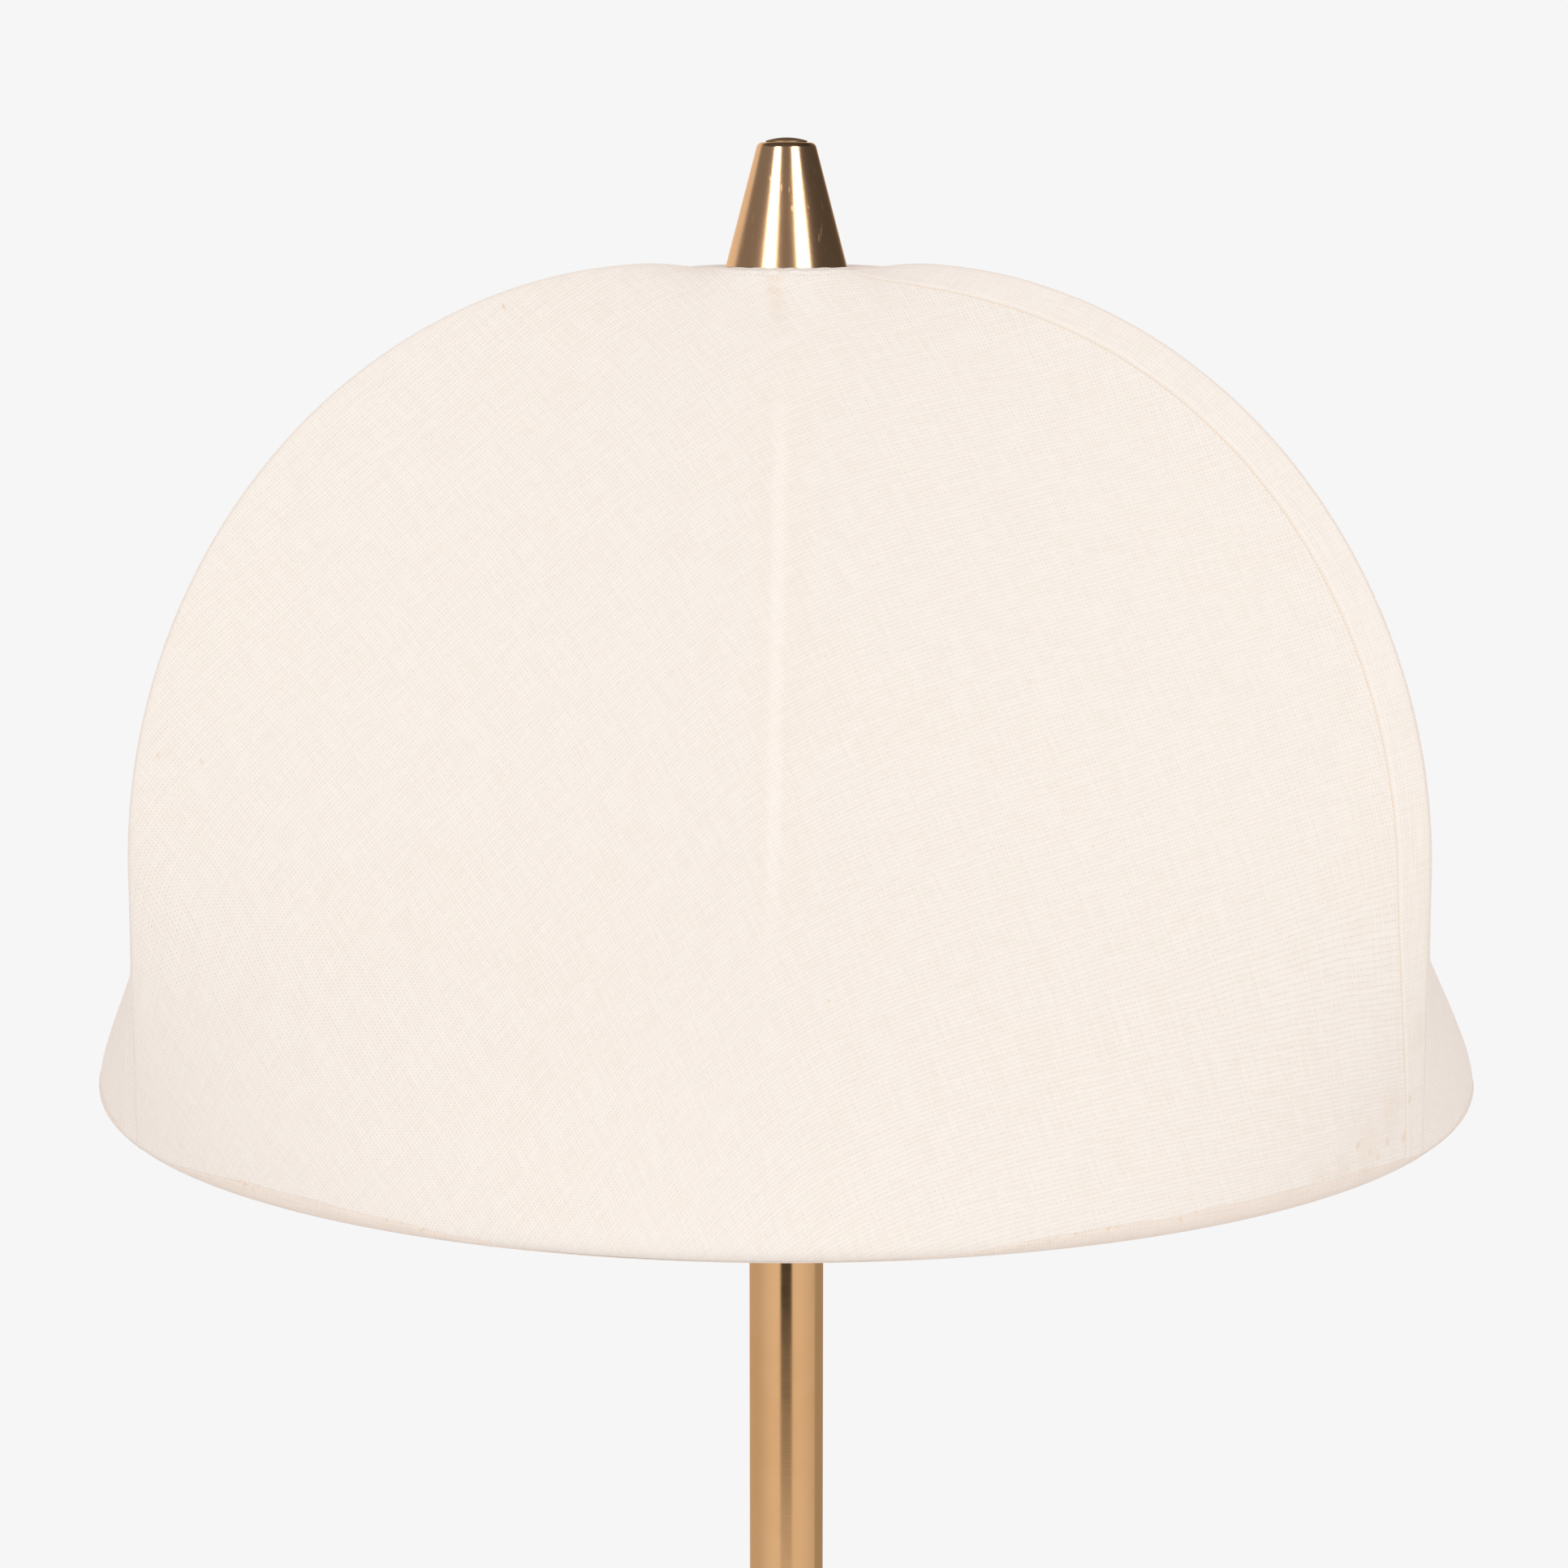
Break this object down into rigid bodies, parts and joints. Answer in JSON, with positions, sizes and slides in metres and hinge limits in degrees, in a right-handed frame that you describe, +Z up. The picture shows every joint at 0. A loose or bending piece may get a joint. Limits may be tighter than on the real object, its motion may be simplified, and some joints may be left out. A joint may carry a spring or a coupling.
{
  "type": "floor lamp",
  "caption": "Straight-pole floor lamp: round weighted base, brass tube, stretched cream cloth shade on a ribbed wire frame, conical finial.",
  "frame": {"origin": "centre of the base's resting face, under the pole", "axes": "+Z up along the pole, -Y towards the front of the lamp, where the switch knob is"},
  "size_m": [0.46, 0.46, 1.5582],
  "materials": {
    "brass_polished": "polished, lightly lacquered",
    "brass_satin": "satin, fine upright polishing lines and light scratches",
    "brass_plain": "plain turned brass",
    "brass_dark": "aged brass, dull",
    "steel_zinc": "bright zinc plating",
    "frame_wire": "cream paint over steel wire",
    "cast_iron": "rough black casting",
    "felt": "dense brown felt",
    "cloth": "cream plain weave, stretched",
    "cloth_hem": "cream plain weave, two layers over the ring",
    "black_plastic": "moulded phenolic",
    "card": "pressed card insulation",
    "glass_frosted": "frosted",
    "glass_black": "fused black glass",
    "aluminium": "rolled, satin",
    "tin": "soft tinned button",
    "seat_fibre": "vulcanised fibre"
  },
  "bodies": {
    "stand": {"base_pad": "felt", "base_weight": "cast_iron", "base_cover": "brass_satin", "base_lock_washer": "steel_zinc", "base_nut": "steel_zinc", "base_nipple": "steel_zinc", "base_collar": "brass_polished", "cord_gland": "black_plastic", "pole_lower": "brass_satin", "pole_foot_plug": "steel_zinc", "pole_coupling": "steel_zinc", "pole_joint_ring": "brass_polished", "pole_upper": "brass_satin", "pole_top_plug": "steel_zinc", "pole_neck": "brass_polished", "socket_nipple": "steel_zinc", "socket_cap": "brass_plain", "socket_shell": "brass_plain", "socket_liner": "card", "socket_insulator": "black_plastic", "socket_screw_shell": "aluminium", "socket_contact": "brass_dark", "harp_saddle": "brass_plain"},
    "switch": {"switch_shaft": "brass_dark", "switch_knob": "black_plastic"},
    "bulb": {"bulb_cap": "aluminium", "bulb_insulator": "glass_black", "bulb_contact": "tin", "bulb_globe": "glass_frosted"},
    "harp": {"harp_wire": "brass_plain", "harp_seat": "brass_plain", "harp_stud": "brass_plain"},
    "ferrule_left": {"harp_ferrule_left": "brass_plain"},
    "ferrule_right": {"harp_ferrule_right": "brass_plain"},
    "shade_seat": {"seat_washer": "seat_fibre", "clamp_washer": "brass_polished"},
    "shade": {"shade_hub": "frame_wire", "shade_rib_1": "frame_wire", "shade_rib_2": "frame_wire", "shade_rib_3": "frame_wire", "shade_ring": "frame_wire", "shade_panel_1": "cloth", "shade_panel_2": "cloth", "shade_panel_3": "cloth", "shade_crown": "cloth", "shade_hem": "cloth_hem"},
    "finial": {"finial_body": "brass_polished", "finial_insert": "steel_zinc", "finial_cap": "brass_dark"}
  },
  "joints": [
    {"name": "switch_turn", "type": "hinge", "parent": "stand", "child": "switch", "pos_m": [0, -0.03, 1.312], "axis": [0, -1, 0], "continuous": true},
    {"name": "bulb_lift", "type": "slide", "parent": "stand", "child": "bulb", "axis": [0, 0, 1], "range_m": [0, 0.024]},
    {"name": "harp_lift", "type": "slide", "parent": "stand", "child": "harp", "axis": [0, 0, 1], "range_m": [0, 0.018]},
    {"name": "ferrule_left_lift", "type": "slide", "parent": "harp", "child": "ferrule_left", "axis": [0, 0, 1], "range_m": [0, 0.012]},
    {"name": "ferrule_right_lift", "type": "slide", "parent": "harp", "child": "ferrule_right", "axis": [0, 0, 1], "range_m": [0, 0.012]},
    {"name": "shade_lift", "type": "slide", "parent": "harp", "child": "shade_seat", "axis": [0, 0, 1], "range_m": [0, 0.02]},
    {"name": "shade_swivel", "type": "hinge", "parent": "shade_seat", "child": "shade", "pos_m": [0, 0, 1.25], "axis": [0, 0, 1], "continuous": true},
    {"name": "finial_lift", "type": "slide", "parent": "shade_seat", "child": "finial", "axis": [0, 0, 1], "range_m": [0, 0.024]}
  ]
}
